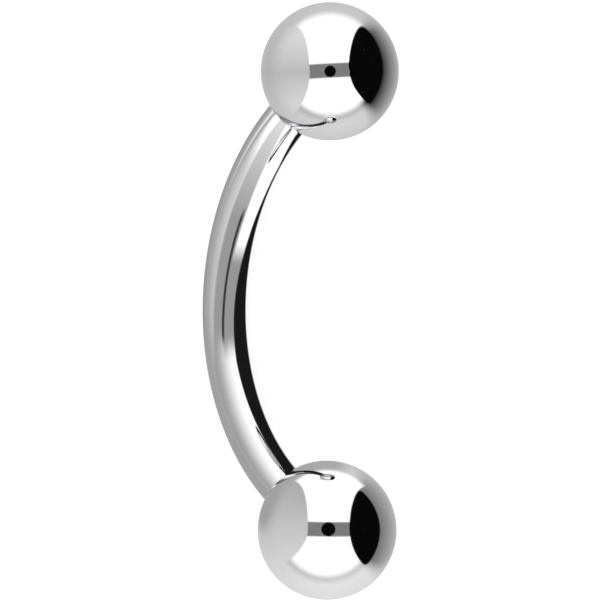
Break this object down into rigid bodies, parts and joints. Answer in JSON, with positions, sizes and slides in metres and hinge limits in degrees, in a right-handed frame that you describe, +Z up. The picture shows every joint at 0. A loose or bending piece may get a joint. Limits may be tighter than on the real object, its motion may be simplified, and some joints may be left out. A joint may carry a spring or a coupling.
{
  "type": "belly button ring",
  "caption": "Curved barbell for a navel piercing: a bent, mirror-polished steel bar whose threaded ends carry equal screw-on balls.",
  "frame": {"origin": "on the surface that the ring lies on, under the middle of its outline", "axes": "+X along the line through the balls' centres, towards the top ball; +Y across the bend, towards its belly; +Z up off the surface"},
  "size_m": [0.0216, 0.0088, 0.005],
  "materials": {
    "polished_bar": "mirror-polished surgical steel",
    "polished_ball": "mirror-polished surgical steel"
  },
  "bodies": {
    "bar": {"curved_bar": "polished_bar"},
    "top_end": {"top_ball": "polished_ball"},
    "bottom_end": {"bottom_ball": "polished_ball"}
  },
  "joints": [
    {"name": "top_ball_unscrews", "type": "slide", "parent": "bar", "child": "top_end", "axis": [0.5526, -0.7957, 0.2478], "range_m": [0, 0.0035]},
    {"name": "bottom_ball_unscrews", "type": "slide", "parent": "bar", "child": "bottom_end", "axis": [-0.5526, -0.7957, 0.2478], "range_m": [0, 0.0035]}
  ]
}
